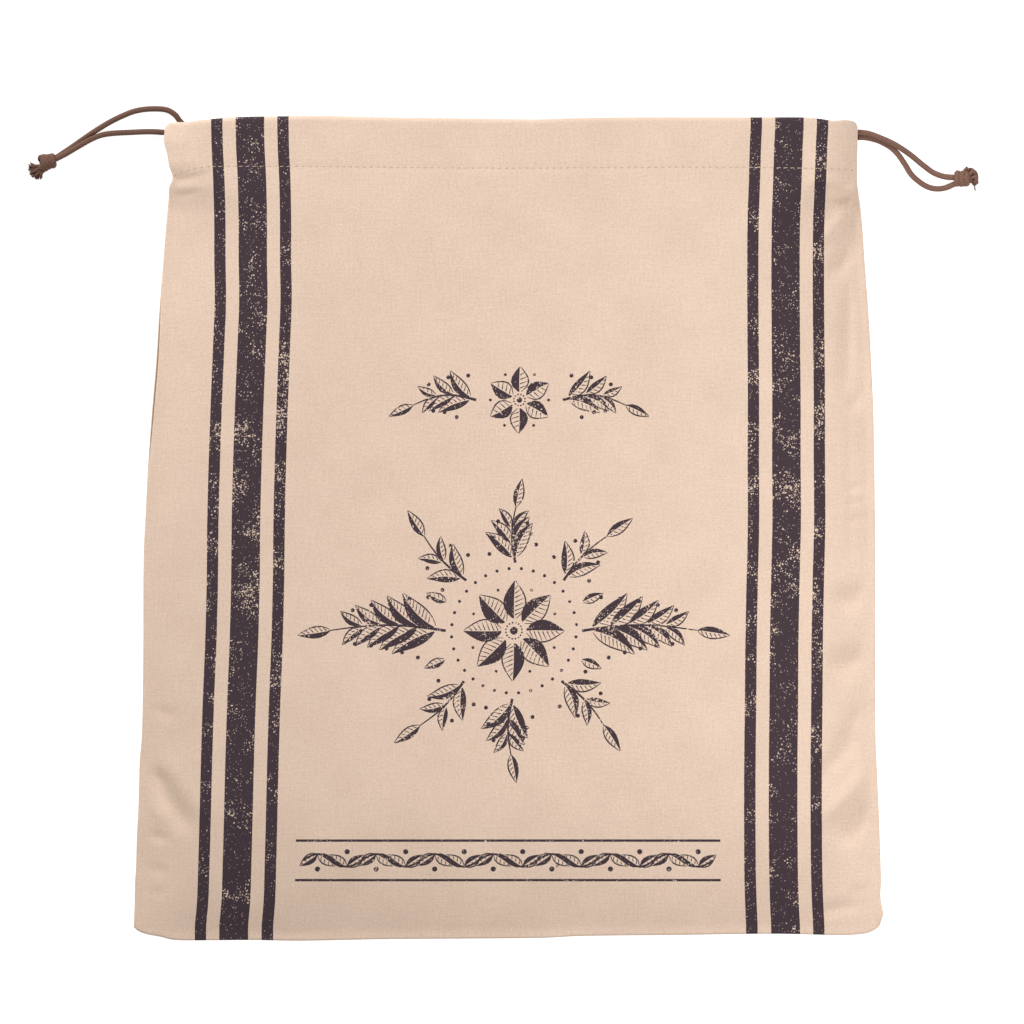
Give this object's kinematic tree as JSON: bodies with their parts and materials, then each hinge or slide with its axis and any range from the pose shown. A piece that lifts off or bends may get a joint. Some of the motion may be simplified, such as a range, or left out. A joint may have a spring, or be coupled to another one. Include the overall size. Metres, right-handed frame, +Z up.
{
  "type": "cotton bread bag",
  "caption": "Woven cotton bread bag lying flat, with a striped front, a stitched casing at its mouth and drawcords knotted at the top corners.",
  "frame": {"origin": "on the surface the bag lies on, under the middle of the cloth, with the drawcords left out", "axes": "+Y along the bag towards its mouth, +X across it to the right as the printed front is seen, +Z up out of the printed front"},
  "size_m": [0.5022, 0.4424, 0.0166],
  "materials": {
    "printed_cotton": "plain-woven natural cotton, matt, with worn dark pigment print",
    "plain_cotton": "plain-woven natural cotton, matt, unprinted",
    "cord": "round braided cotton cord, warm grey-brown, matt"
  },
  "bodies": {
    "root": {"front_panel": "printed_cotton", "back_panel": "plain_cotton", "drawcord_left": "cord", "drawcord_right": "cord", "knot_left": "cord", "knot_right": "cord"}
  },
  "joints": []
}
